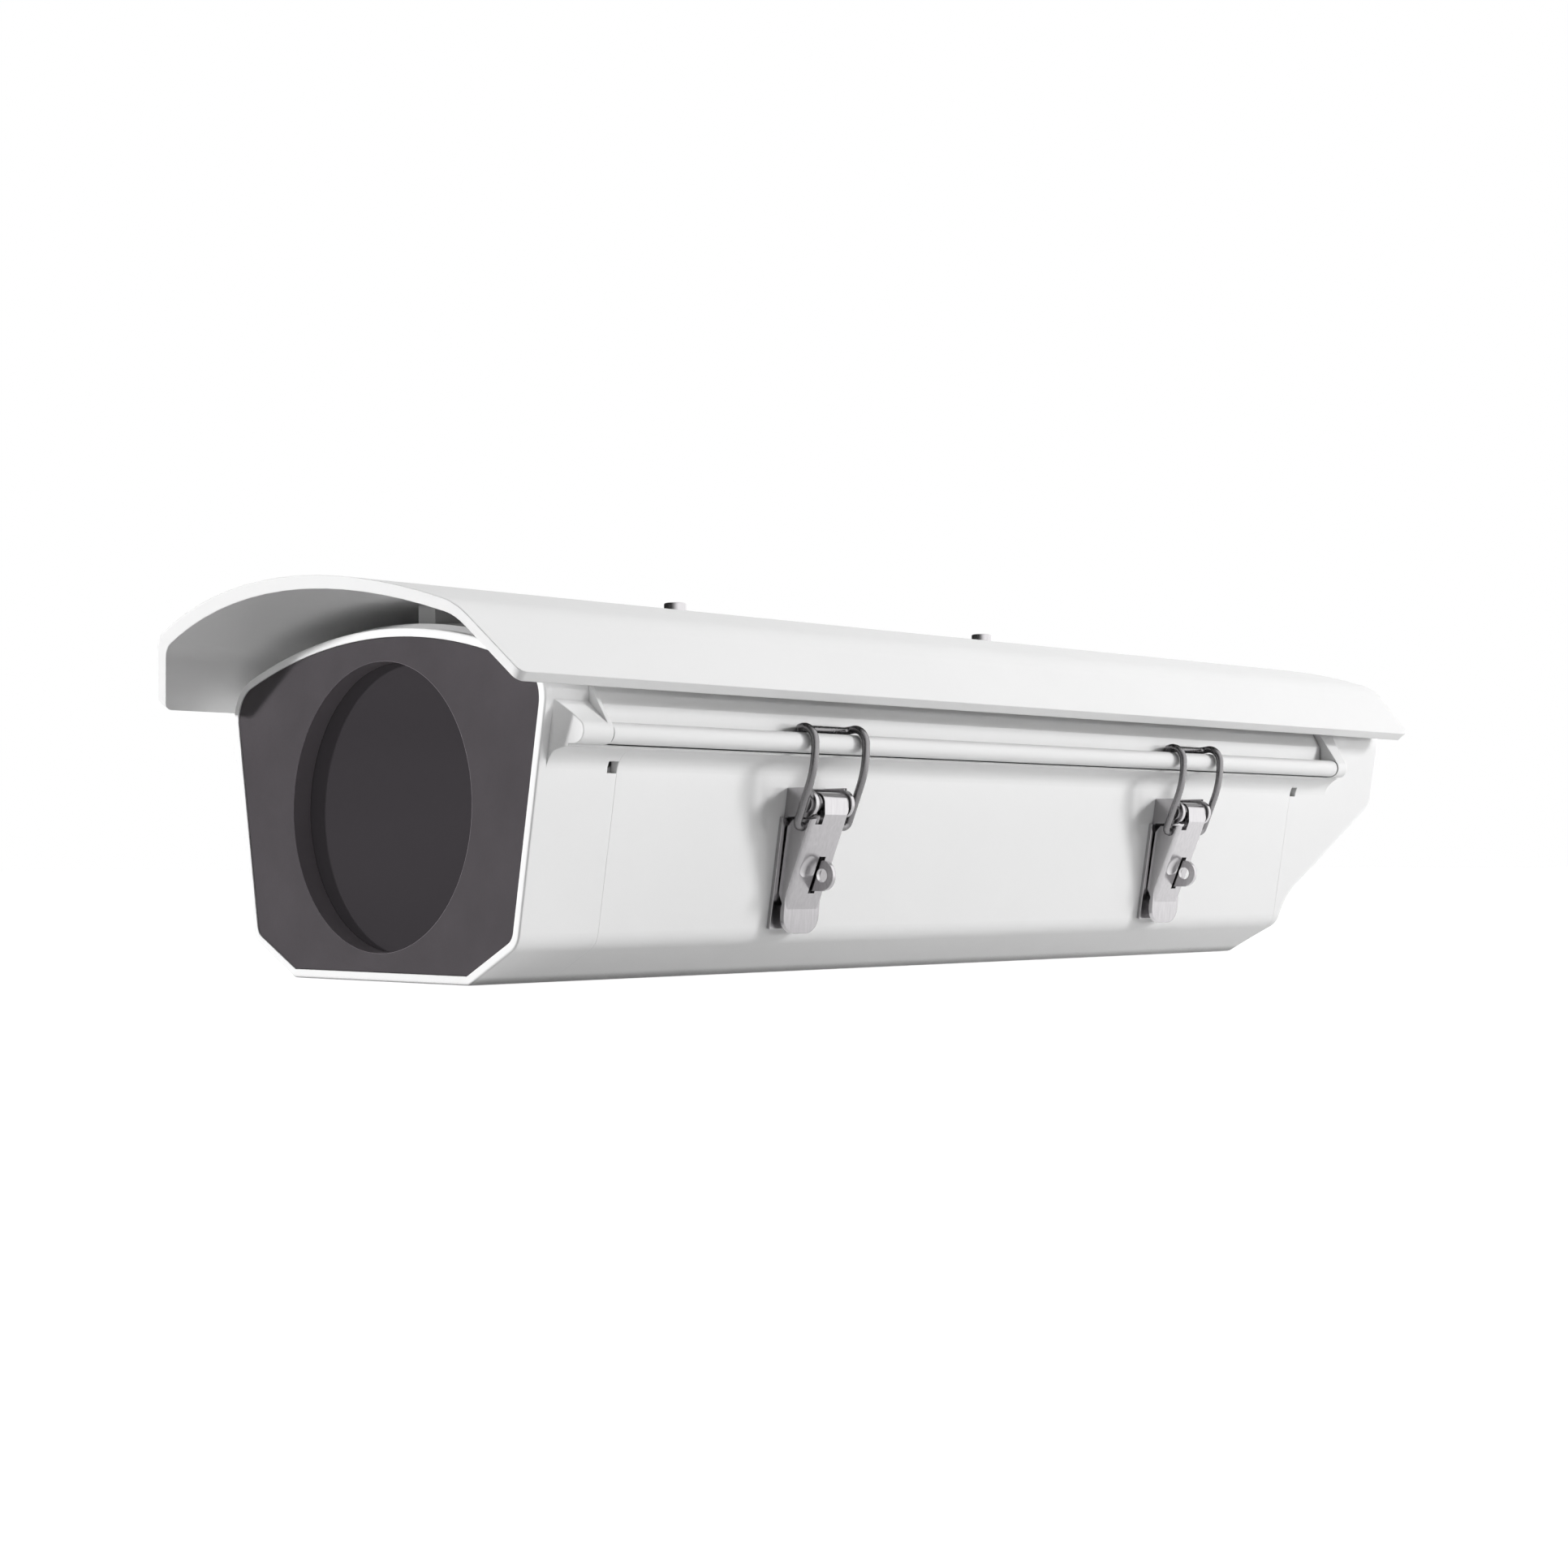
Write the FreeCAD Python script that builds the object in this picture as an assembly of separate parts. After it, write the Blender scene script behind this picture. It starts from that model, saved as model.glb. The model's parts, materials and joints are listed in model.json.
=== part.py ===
import FreeCAD, Part
import math
import os

V = FreeCAD.Vector

# Outdoor security camera housing, in millimetres.
# +Z is up, the window faces -Y, the two latches are on the +X side and the hinge on the -X side.
# The origin is on the flat underside, at the centre of the four bracket holes.

# Places along the length
front_seat_y = -163.8       # shoulder end, where the lid starts
rear_seat_y = 185.4         # shoulder of the rear cap, where the lid ends
front_cap_depth = 16.2      # front edge of the rim to the shoulder end
rim_band = 2.4              # straight band behind the rim
shoulder_length = 10.4      # full shoulder of the front cap
front_collar_length = 11.0  # shoulder end to the joint with the lower body
rear_collar_length = 14.4
rear_shell_length = 43.4    # shoulder of the rear cap to its upright rear face
lower_rear_step = 5.8       # joint to the rear face below the slope
lid_end_gap = 0.4           # air between the lid ends and the cap shoulders

# Outline of the caps and the lower body
bottom_half = 39.0
chamfer_half = 59.0
chamfer_height = 10.6
side_lean = math.radians(9.77)
crown_z = 96.5
crown_radius = 181.6
shoulder_rise = 1.5
upper_corner_radius = 12.0
chamfer_corner_radius = 6.4
bottom_corner_radius = 2.4
wall = 2.5
cap_wall = 3.0

# Ledge that flares out under the lid edge
ledge_z = 62.6
lip_height = 0.7
flare_radius = 6.6
shelf_inset = 3.1           # groove to the inner edge of the shelf
shelf_height = 3.0

# Lid
lid_wall = 2.5
lid_overhang = 2.65         # side wall to the outside of the lid, at the ledge
lid_gap = 0.3               # ledge to lid edge
lid_bend_z = 73.45
lid_crown_z = 98.8
lid_crown_radius = 184.0
lid_lean = math.radians(30.0)
lid_corner_radius = 10.0
bead_reach = 4.35           # outside of the lid to the bead centre
bead_z = 65.72
bead_radius = 2.8
foot_reach = 2.2            # foot inside the lid edge that presses on the gasket
foot_height = 2.0
rib_width = 7.5
front_edge_radius = 0.6     # front edge of the rim

# Cap collars that reach under the lid, and the lid gasket
collar_wall = 2.5
collar_gap = 2.6
gasket_band = 1.75
gasket_width = 6.0
gasket_inset = 2.5          # shoulder to gasket
groove_inset = 5.0          # outside of the lid to the groove
groove_width = 3.0
groove_depth = 1.6
gasket_slack = 0.15
gasket_air = 0.15

# Bosses at the ends of the bead
boss_radius = 3.3
boss_drop = 0.25            # boss centre inward of the bead centre
boss_lean = math.radians(34.5)
boss_front_lean = math.radians(51.0)
boss_rib = 1.5              # rib at the shoulder end of the front bosses
boss_taper = 3.0
boss_root = 1.6             # side wall to the root of the slanted boss end
rear_boss_length = 5.8
notch_length = 3.4
notch_z = 55.7
notch_height = 3.1
notch_depth = 2.2

# Hinge
hinge_pin_radius = 1.6
pin_seat_clearance = 0.02
running_clearance = 0.06
pin_in_boss = 8.5
pin_in_lid = 12.0

# Sunshield
shield_wall = 3.4
shield_crown_z = 108.0
shield_crown_radius = 208.0
shield_reach = 6.65         # bead centre to the lower edge of the sunshield
shield_edge_z = 79.3
shield_slope = math.radians(51.0)
shield_corner_radius = 15.0
shield_front_y = -198.2
shield_front_slant = 0.515
shield_rear_y = 228.0
shield_tip_radius = 3.0
shield_gap = 0.05
shield_screw_y = (-67.6, 80.2)

# Window
window_z = 47.6
window_radius = 40.0
panel_recess = 0.3
panel_thickness = 2.2
panel_gap = 0.15
rim_face = 2.4
web = 3.0
collar_tube_wall = 1.1
collar_tube_gap = 0.2
glass_radius = 43.4
glass_thickness = 4.0
glass_gasket_thickness = 1.0
retainer_thickness = 2.5
retainer_ear_circle = 49.0
ear_radius = 3.8
post_radius = 3.4
panel_tube_proud = 0.6      # tube of the panel behind the web
retainer_arm_start = 0.84   # share of the ear circle where its arms begin
panel_post_inset = 7.0      # from the widest point of the bottom chamfer
panel_post_low = 27.6       # below the window centre
panel_post_high = 26.4      # above the window centre

# Screws: M3 and M4 sizes, with the thread drawn as its core
m3_radius = 1.4
m3_head_radius = 2.8
m3_head_height = 2.0
m4_radius = 1.9
m4_head_radius = 3.5
m4_head_height = 4.0
m4_pan_height = 2.6
m4_socket_radius = 1.75
m4_socket_depth = 2.2
thread_clearance = 0.05
clearance_hole = 0.25
screw_end_gap = 0.5         # end of a screw short of the far side
rib_hole_depth = 7.0        # tapped holes for the sunshield screws
m3_length = 7.0
panel_screw_length = 4.2
cap_screw_length = 18.0
shield_screw_length = 9.6

# Screw channels along the lower body
channel_radius = 4.6
lower_channel_out = 7.2     # from the edge of the flat bottom
lower_channel_up = 0.4      # above the chamfer
upper_channel_in = 6.36     # from the outside of the side wall
upper_channel_down = 11.6   # below the ledge
front_lug_length = 6.0
lug_radius = 4.8
spot_face = 0.5
spot_face_length = 8.0

# Bracket holes
bracket_spacing_x = 50.0
bracket_spacing_y = 70.0
insert_bore_radius = 2.5
insert_pilot_radius = 4.4
insert_flange_radius = 6.0
insert_flange_height = 4.0

# Latches
latch_y = (-80.0, 97.2)
pivot_in = 1.45             # pivot inward of the bead centre
pivot_z = 48.8
latch_sheet = 1.2
lever_sheet = 1.5
latch_pin_radius = 1.7
pin_head_reach = 0.9        # beyond the pin
pin_head_near = 0.4
pin_head_far = 0.8
knuckle_near = -2.9         # knuckle edge on the window side, from the latch centre
lever_half = 7.2
base_half = 8.9
base_bottom_z = 13.6
base_top_z = 53.3
ear_bottom_z = 45.1
ear_nose_radius = 4.0
near_ear = -7.2
far_ear = 7.5
lever_lean = math.radians(24.0)
tongue_lean = math.radians(6.0)
crease_z = 45.6
tongue_crease_z = 19.0
tongue_tip_z = 12.0
tongue_radius = 5.0
flange_top_z = 44.3
flange_foot = 4.8           # lower flange corner above the tongue crease
flange_gap = 0.3
knuckle_notch_drop = 1.5    # notch beside the knuckle, below the flange top
sliver = 0.01               # keeps two cuts from sharing a face
fold_radius = 1.4
bail_pivot = (-1.6, -6.5)   # from the lever pivot, across and up
bail_hole_clearance = 0.1
wire_radius = 1.15
bail_near = -9.6
bail_far = 11.5
bail_stub_depth = 2.2
bail_lean = math.radians(24.0)
bail_leg_radius = 28.0
hook_radius = 4.4
hook_turn = math.radians(100.0)
bail_corner_radius = 2.1
stub_bend_radius = 1.7
staple_y = 1.1
staple_reach = 9.6          # side wall to the staple hole
staple_z = 28.5
staple_radius = 4.3
staple_hole_radius = 2.0
slot_bottom_z = 23.4
slot_top_z = 33.8
slot_side = 0.7
dimple_z = 31.0
dimple_y = -3.0
dimple_radius = 8.0
dimple_depth = 0.7
rivet_radius = 1.6
rivet_head_radius = 2.8
rivet_head = 0.8
rivet_z = (20.0, 41.0)
spring_wire_radius = 0.4
spring_radius = 2.55
spring_turns = 2.0
spring_pitch = 0.82

# Camera sled and wiring
sled_overhang = 1.5         # beyond the flat bottom on each side
sled_lip = 8.0
sled_front_y = -130.0
sled_rear_y = 150.0
sled_z = 12.0
sled_thickness = 2.0
sled_screw_inset = 7.0      # from the edge of the flat bottom
sled_screw_y = (-110.0, 130.0)
spacer_radius = 4.5
sled_slot_half = 3.4
sled_slot_front_y = -100.0
sled_slot_rear_y = 70.0
camera_screw_y = -40.0
camera_screw_radius = 3.15
camera_screw_head_radius = 9.0
camera_screw_head = 6.0
camera_screw_length = 12.0
camera_screw_grooves = 24
camera_screw_groove_radius = 0.6
board_half_x = 30.0
board_front_y = 90.0
board_rear_y = 140.0
board_lift = 5.0
board_thickness = 1.6
board_hole_inset = 4.5
board_spacer_radius = 2.8
block_length = 44.0
block_width = 11.0
block_height = 10.0
block_ways = 6
block_inset = 12.0          # block centre to the rear edge of the board
block_pocket_share = 0.32   # half width of a pocket, as a share of the pitch
block_pocket_depth = 4.0
block_mouth = (1.5, 6.0)    # height of a wire mouth, from the underside
earth_screw_x = -30.0
earth_screw_inset = 13.0    # from the rear joint
earth_washer_half = 5.0
earth_washer = 1.0

# Cable glands on the sloping rear face
slope_foot_z = 17.7
slope_angle = math.radians(34.4)
slope_foot_radius = 20.0
slope_top_radius = 7.0
rear_edge_radius = 4.0
gland_x = (-24.5, 0.0, 24.5)
gland_along = 31.5          # up the slope from its foot corner
gland_radius = 8.0
gland_hole_clearance = 0.1
gland_flats = 20.0
gland_flange = 5.0
gland_shank = 10.0
gland_locknut = 4.0
gland_bore_radius = 5.5
dome_length = 10.0
dome_overlap = 4.0
dome_mouth_radius = 6.0
dome_rounding = 3.0
dome_flats_less = 0.8       # dome nut narrower than the body's hexagon
seal_radius = 5.4
seal_bore_radius = 3.5
seal_length = 8.0

above_all = 130.0
far = 200.0                 # beyond every side


def side_x(z):
    """Half width of the leaning side wall at a height."""
    return chamfer_half + (z - chamfer_height) * math.tan(side_lean)


front_y = front_seat_y - front_cap_depth
shoulder_start_y = front_seat_y - shoulder_length
front_joint_y = front_seat_y + front_collar_length
rear_joint_y = rear_seat_y - rear_collar_length
rear_face_y = rear_seat_y + rear_shell_length
lower_rear_y = rear_joint_y + lower_rear_step
lid_half = side_x(ledge_z) + lid_overhang
bead_x = lid_half + bead_reach
groove_x = lid_half - groove_inset
shelf_half = groove_x - shelf_inset
shield_edge_x = bead_x + shield_reach
pivot_x = bead_x - pivot_in
staple_x = side_x(staple_z) + staple_reach
lower_channel = (bottom_half + lower_channel_out, chamfer_height + lower_channel_up)
upper_channel_z = ledge_z - upper_channel_down
upper_channel = (side_x(upper_channel_z) - upper_channel_in, upper_channel_z)
sled_half = bottom_half + sled_overhang
sled_screw_x = bottom_half - sled_screw_inset
lid_bottom_z = ledge_z + lid_gap
lid_front_y = front_seat_y + lid_end_gap
lid_rear_y = rear_seat_y - lid_end_gap
panel_face_y = front_y + panel_recess
web_front_y = panel_face_y + panel_thickness
web_rear_y = web_front_y + web
glass_front_y = web_rear_y + glass_gasket_thickness
glass_rear_y = glass_front_y + glass_thickness
collar_inset = lid_wall + collar_gap
boss_x = bead_x - boss_drop
boss_z = ledge_z + boss_radius


def box(x0, x1, y0, y1, z0, z1):
    """Box from its lowest to its highest corner."""
    return Part.makeBox(x1 - x0, y1 - y0, z1 - z0, V(x0, y0, z0))


def rod_y(radius, y0, y1, x, z):
    """Cylinder along Y."""
    return Part.makeCylinder(radius, y1 - y0, V(x, y0, z), V(0, 1, 0))


def rod_z(radius, z0, z1, x, y):
    """Cylinder along Z."""
    return Part.makeCylinder(radius, z1 - z0, V(x, y, z0), V(0, 0, 1))


def flat(points):
    """Face bounded by straight edges through points in one plane."""
    return Part.Face(Part.makePolygon(list(points) + [points[0]]))


def profile(points, y0, y1):
    """Prism along Y over a closed outline given as (x, z) points."""
    return flat([V(x, y0, z) for x, z in points]).extrude(V(0, y1 - y0, 0))


def both_sides(shape):
    """The shape and its mirror image across the middle plane."""
    return shape.fuse(shape.mirror(V(0, 0, 0), V(1, 0, 0)))


def symmetric(half):
    """Closed outline from the points of its right half, from bottom to top."""
    return list(half) + [(-x, z) for x, z in reversed(half)]


def arched(half, top_z, top_radius, y0, y1):
    """Prism along Y whose top is an arc with its highest point on the middle plane."""
    return profile(symmetric(half), y0, y1).common(rod_y(top_radius, y0, y1, 0, top_z - top_radius))


def edges_along(solid, axis, wanted):
    """Straight edges along one axis whose middle satisfies a test."""
    found = []
    for edge in solid.Edges:
        if len(edge.Vertexes) != 2:
            continue
        run = edge.Vertexes[1].Point - edge.Vertexes[0].Point
        middle = (edge.Vertexes[1].Point + edge.Vertexes[0].Point) * 0.5
        if run.Length > 1e-6 and abs(abs(run.dot(axis)) - run.Length) < 1e-6 and wanted(middle):
            found.append(edge)
    return found


def end_face(solid, y):
    """Largest face of a solid that lies in the plane at y."""
    faces = [f for f in solid.Faces if f.BoundBox.YLength < 1e-6 and abs(f.BoundBox.YMin - y) < 1e-6]
    return max(faces, key=lambda f: f.Area)


def inset_prism(face, inset, y0, y1):
    """Prism along Y over a face shrunk by an inset."""
    shrunk = face.makeOffset2D(-inset) if inset else face.copy()
    shrunk.translate(V(0, y0 - shrunk.BoundBox.YMin, 0))
    return shrunk.extrude(V(0, y1 - y0, 0))


def hull_prism(y0, y1, rise=0.0):
    """Full outline of the housing with its arched top and rounded corners."""
    half = [(bottom_half, 0), (chamfer_half, chamfer_height), (side_x(above_all), above_all)]
    solid = arched(half, crown_z + rise, crown_radius, y0, y1)
    along = V(0, 1, 0)
    solid = solid.makeFillet(upper_corner_radius, edges_along(solid, along, lambda p: p.z > ledge_z))
    near_chamfer = edges_along(solid, along, lambda p: abs(p.z - chamfer_height) < 0.1)
    solid = solid.makeFillet(chamfer_corner_radius, near_chamfer)
    low = edges_along(solid, along, lambda p: p.z < 0.1 and abs(abs(p.x) - bottom_half) < 0.1)
    return solid.makeFillet(bottom_corner_radius, low)


def hull_face(rise=0.0):
    """The housing's full outline as a face."""
    return end_face(hull_prism(0, 1, rise), 0)


def flare(y0, y1):
    """Ledges that curve outward from both side walls to the lip under the lid edge."""
    under = ledge_z - lip_height
    centre_z = under - flare_radius
    lip_x = side_x(centre_z) + flare_radius / math.cos(side_lean)
    start = V(lip_x - flare_radius * math.cos(side_lean), y0, centre_z + flare_radius * math.sin(side_lean))
    turn = (math.pi / 2 + side_lean) / 2
    middle = V(lip_x - flare_radius * math.sin(turn), y0, centre_z + flare_radius * math.cos(turn))
    end = V(lip_x, y0, under)
    edges = [Part.Arc(start, middle, end).toShape()]
    corners = [end, V(lip_x, y0, ledge_z), V(shelf_half, y0, ledge_z), V(shelf_half, y0, start.z), start]
    for a, b in zip(corners, corners[1:]):
        edges.append(Part.makeLine(a, b))
    solid = Part.Face(Part.Wire(edges)).extrude(V(0, y1 - y0, 0))
    return both_sides(solid)


def trough(y0, y1):
    """Lower half of the housing as a filled block, without the flare."""
    return inset_prism(hull_face(), 0, y0, y1).common(box(-far, far, y0, y1, -1, ledge_z))


def trough_hollow(y0, y1):
    """Space inside the lower half, narrowed by the shelf below the ledge."""
    below = box(-far, far, y0, y1, 0, ledge_z - shelf_height)
    space = inset_prism(hull_face(), wall, y0, y1).common(below)
    return space.fuse(box(-shelf_half, shelf_half, y0, y1, ledge_z - shelf_height - wall, ledge_z + 1))


def ledge_grooves(y0, y1):
    """Grooves in both ledges that hold the lid gasket."""
    return both_sides(box(groove_x, groove_x + groove_width, y0, y1, ledge_z - groove_depth, ledge_z + 1))


def channel_spots():
    """Centres of the four screw channels, as (x, z)."""
    spots = []
    for x, z in (lower_channel, upper_channel):
        spots.append((x, z))
        spots.append((-x, z))
    return spots


def bracket_spots():
    """Centres of the four bracket holes, as (x, y)."""
    return [(sx * bracket_spacing_x / 2, sy * bracket_spacing_y / 2) for sx in (-1, 1) for sy in (-1, 1)]


def sled_spots():
    """Centres of the four sled screws, as (x, y)."""
    return [(sx * sled_screw_x, y) for sx in (-1, 1) for y in sled_screw_y]


def make_lower_body():
    """Extruded trough with flared ledges, screw channels and bracket holes."""
    solid = trough(front_joint_y, rear_joint_y).fuse(flare(front_joint_y, rear_joint_y))
    solid = solid.cut(trough_hollow(front_joint_y - 1, rear_joint_y + 1))
    inside = inset_prism(hull_face(), wall / 2, front_joint_y, rear_joint_y)
    for x, z in channel_spots():
        solid = solid.fuse(rod_y(channel_radius, front_joint_y, rear_joint_y, x, z).common(inside))
    for x, z in channel_spots():
        solid = solid.cut(rod_y(m4_radius + thread_clearance, front_joint_y - 1, rear_joint_y + 1, x, z))
    for x, y in bracket_spots():
        solid = solid.cut(rod_z(insert_pilot_radius, -1, wall + 1, x, y))
    for x, y in sled_spots():
        solid = solid.cut(rod_z(m4_radius + thread_clearance, -1, wall + 1, x, y))
    solid = solid.cut(ledge_grooves(front_joint_y - 1, rear_joint_y + 1))
    for centre in latch_y:
        for z in rivet_z:
            solid = solid.cut(rivet_hole(centre, z))
    return solid.removeSplitter()


def lid_outline():
    """Outer outline of the lid, closed along its lower edge, as a face."""
    half = [(lid_half, lid_bottom_z), (lid_half, lid_bend_z)]
    half.append((lid_half - (above_all - lid_bend_z) * math.tan(lid_lean), above_all))
    solid = arched(half, lid_crown_z, lid_crown_radius, 0, 1)
    corners = edges_along(solid, V(0, 1, 0), lambda p: p.z > lid_bend_z + 1)
    return end_face(solid.makeFillet(lid_corner_radius, corners), 0)


def cap_hollow(y0, y1):
    """Space inside a cap, as wide as the inside of its collar above the ledge."""
    above = inset_prism(lid_outline(), collar_inset + collar_wall, y0, y1)
    reach = lid_half - collar_inset - collar_wall
    return trough_hollow(y0, y1).fuse(above).fuse(box(-reach, reach, y0, y1, ledge_z - 1, lid_bend_z))


def collar(y0, y1):
    """Filled arch that reaches under the lid, above the ledge."""
    solid = inset_prism(lid_outline(), collar_inset, y0, y1)
    reach = lid_half - collar_inset
    solid = solid.fuse(box(-reach, reach, y0, y1, ledge_z - 1, lid_bend_z - 1))
    return solid.common(box(-far, far, y0, y1, ledge_z - 1, above_all))


def boss_bar(lean, y0, y1):
    """Boss in line with a lid bead: round outside, with a face that leans back to the shoulder."""
    inner = side_x(ledge_z) - wall
    edge = (boss_x + boss_radius * math.cos(lean), boss_z + boss_radius * math.sin(lean))
    top = (inner, edge[1] + (edge[0] - inner) / math.tan(lean))
    outline = [(inner, ledge_z), (boss_x, ledge_z), (boss_x, boss_z), edge, top]
    return profile(outline, y0, y1).fuse(rod_y(boss_radius, y0, y1, boss_x, boss_z))


def boss_ends(wide_y, narrow_y):
    """Space beyond the slanted, slightly hollow outer end of a boss."""
    root = side_x(ledge_z) + boss_root
    outer = boss_x + boss_radius + 0.1
    away = 2 * narrow_y - wide_y
    a = V(root, narrow_y, 0)
    b = V(outer, wide_y, 0)
    dip = V((a.x + b.x) / 2, (a.y + b.y) / 2 - (narrow_y - wide_y) * 0.2, 0)
    edges = [Part.Arc(a, dip, b).toShape()]
    corners = [b, V(outer, away, 0), V(root, away, 0), a]
    for p, q in zip(corners, corners[1:]):
        edges.append(Part.makeLine(p, q))
    return both_sides(Part.Face(Part.Wire(edges)).extrude(V(0, 0, above_all)))


def front_bosses():
    """Bosses of the front cap, with a steeper rib at the shoulder end."""
    narrow_y = shoulder_start_y - boss_taper
    bar = boss_bar(boss_front_lean, narrow_y, front_seat_y)
    bar = bar.fuse(boss_bar(boss_lean, front_seat_y - boss_rib, front_seat_y))
    return both_sides(bar).fuse(flare(narrow_y, front_seat_y)).cut(boss_ends(shoulder_start_y, narrow_y))


def rear_bosses():
    """Bosses of the rear cap."""
    wide_y = rear_seat_y + rear_boss_length
    narrow_y = wide_y + boss_taper
    bar = both_sides(boss_bar(boss_lean, rear_seat_y, narrow_y))
    return bar.fuse(flare(rear_seat_y, narrow_y)).cut(boss_ends(wide_y, narrow_y))


def wall_notches(y0, y1):
    """Small drain notches in both side walls under the flare."""
    x = side_x(notch_z) - notch_depth
    return both_sides(box(x, x + 10, y0, y1, notch_z, notch_z + notch_height))


def make_front_cap():
    """Cast front frame: rim, swollen shoulder, web behind the panel, bosses and collar."""
    rim_end = front_y + rim_band
    rim = hull_prism(front_y, rim_end)
    edge = [e for e in rim.Edges if e.BoundBox.YLength < 1e-6 and abs(e.BoundBox.YMin - front_y) < 1e-6]
    rim = rim.makeFillet(front_edge_radius, edge)
    narrow = end_face(hull_prism(rim_end, rim_end + 1), rim_end).OuterWire
    wide_solid = hull_prism(shoulder_start_y, front_seat_y, shoulder_rise)
    wide = end_face(wide_solid, shoulder_start_y).OuterWire
    swell = Part.makeLoft([narrow, wide], True, True)
    solid = rim.fuse([swell, wide_solid, trough(front_seat_y, front_joint_y)])
    solid = solid.fuse([front_bosses(), flare(front_seat_y, front_joint_y)])
    solid = solid.fuse(collar(front_seat_y, front_joint_y))
    solid = solid.cut(cap_hollow(web_rear_y, front_joint_y + 1))
    solid = solid.cut(inset_prism(hull_face(), rim_face, front_y - 1, web_front_y))
    tube = window_radius + collar_tube_wall + collar_tube_gap
    solid = solid.cut(rod_y(tube, front_y, web_rear_y + 1, 0, window_z))
    for x, z in channel_spots():
        lug = rod_y(lug_radius, front_joint_y - front_lug_length, front_joint_y, x, z)
        solid = solid.fuse(lug.common(inset_prism(hull_face(), wall / 2, front_y, front_joint_y)))
    for x, z in channel_spots():
        solid = solid.cut(rod_y(m4_radius + clearance_hole, web_rear_y, front_joint_y + 1, x, z))
    for x, z in retainer_spots():
        solid = solid.fuse(rod_y(post_radius, web_front_y, glass_rear_y, x, z))
    for x, z in retainer_spots():
        solid = solid.cut(rod_y(m3_radius + thread_clearance, web_rear_y, glass_rear_y + 1, x, z))
    for x, z in panel_spots():
        solid = solid.cut(rod_y(post_radius + panel_gap, web_front_y - 1, web_rear_y + 1, x, z))
    solid = solid.cut(ledge_grooves(front_seat_y + gasket_inset, front_joint_y + 1))
    solid = solid.cut(wall_notches(front_joint_y - notch_length, front_joint_y + 1))
    solid = solid.cut(rod_y(hinge_pin_radius + pin_seat_clearance, front_seat_y - pin_in_boss,
                            front_seat_y + 1, -bead_x, bead_z))
    return solid.removeSplitter()


def retainer_spots():
    """Centres of the glass retainer's four screws, as (x, z)."""
    spots = []
    for k in range(4):
        angle = math.pi / 4 + k * math.pi / 2
        x = retainer_ear_circle * math.cos(angle)
        spots.append((x, window_z + retainer_ear_circle * math.sin(angle)))
    return spots


def panel_spots():
    """Centres of the panel's four screw posts, as (x, z)."""
    x = chamfer_half - panel_post_inset
    heights = (window_z - panel_post_low, window_z + panel_post_high)
    return [(sx * x, z) for z in heights for sx in (-1, 1)]


def make_front_panel():
    """Dark front panel with the round window opening, its short tube and screw posts."""
    solid = inset_prism(hull_face(), rim_face + panel_gap, panel_face_y, web_front_y)
    tube = window_radius + collar_tube_wall
    solid = solid.fuse(rod_y(tube, panel_face_y, web_rear_y + panel_tube_proud, 0, window_z))
    for x, z in panel_spots():
        solid = solid.fuse(rod_y(post_radius, panel_face_y, web_rear_y, x, z))
    for x, z in panel_spots():
        hole_y = web_rear_y - panel_screw_length
        solid = solid.cut(rod_y(m3_radius + thread_clearance, hole_y, web_rear_y + 1, x, z))
    solid = solid.cut(rod_y(window_radius, front_y, glass_front_y, 0, window_z))
    return solid.removeSplitter()


def make_window_glass():
    """Round flat glass with a small bevel."""
    solid = rod_y(glass_radius, glass_front_y, glass_rear_y, 0, window_z)
    rings = [e for e in solid.Edges if e.BoundBox.YLength < 1e-6]
    return solid.makeChamfer(0.4, rings)


def make_glass_gasket():
    """Flat ring that seals the glass to the web."""
    solid = rod_y(glass_radius, web_rear_y, glass_front_y, 0, window_z)
    hole = window_radius + collar_tube_wall + collar_tube_gap
    return solid.cut(rod_y(hole, web_rear_y - 1, glass_front_y + 1, 0, window_z))


def make_glass_retainer():
    """Ring with four screw ears that presses the glass forward."""
    rear = glass_rear_y + retainer_thickness
    solid = rod_y(glass_radius, glass_rear_y, rear, 0, window_z)
    for x, z in retainer_spots():
        dx = x * retainer_arm_start
        dz = (z - window_z) * retainer_arm_start
        arm = Part.makeCylinder(ear_radius, retainer_thickness, V(x, glass_rear_y, z), V(0, 1, 0))
        length = math.hypot(x - dx, z - window_z - dz)
        bridge = Part.makeBox(length, retainer_thickness, 2 * ear_radius, V(0, 0, -ear_radius))
        bridge.rotate(V(0, 0, 0), V(0, -1, 0), math.degrees(math.atan2(z - window_z, x)))
        bridge.translate(V(dx, glass_rear_y, window_z + dz))
        solid = solid.fuse([arm, bridge])
    solid = solid.cut(rod_y(window_radius, glass_rear_y - 1, rear + 1, 0, window_z))
    for x, z in retainer_spots():
        solid = solid.cut(rod_y(m3_radius + clearance_hole, glass_rear_y - 1, rear + 1, x, z))
    return solid.removeSplitter()


def pan_screw(radius, head_radius, head_height, length):
    """Screw along -Z with its head's seat at z=0 and a cross-shaped recess."""
    head = Part.makeCylinder(head_radius, head_height)
    rim = [e for e in head.Edges if e.BoundBox.ZLength < 1e-6 and e.BoundBox.ZMin > head_height - 0.01]
    head = head.makeFillet(head_height * 0.45, rim)
    screw = head.fuse(Part.makeCylinder(radius, length, V(0, 0, -length)))
    arm = head_radius * 0.55
    slit = radius * 0.22
    for a, b in ((arm, slit), (slit, arm)):
        screw = screw.cut(box(-a, a, -b, b, head_height * 0.4, head_height + 1))
    return screw


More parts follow.
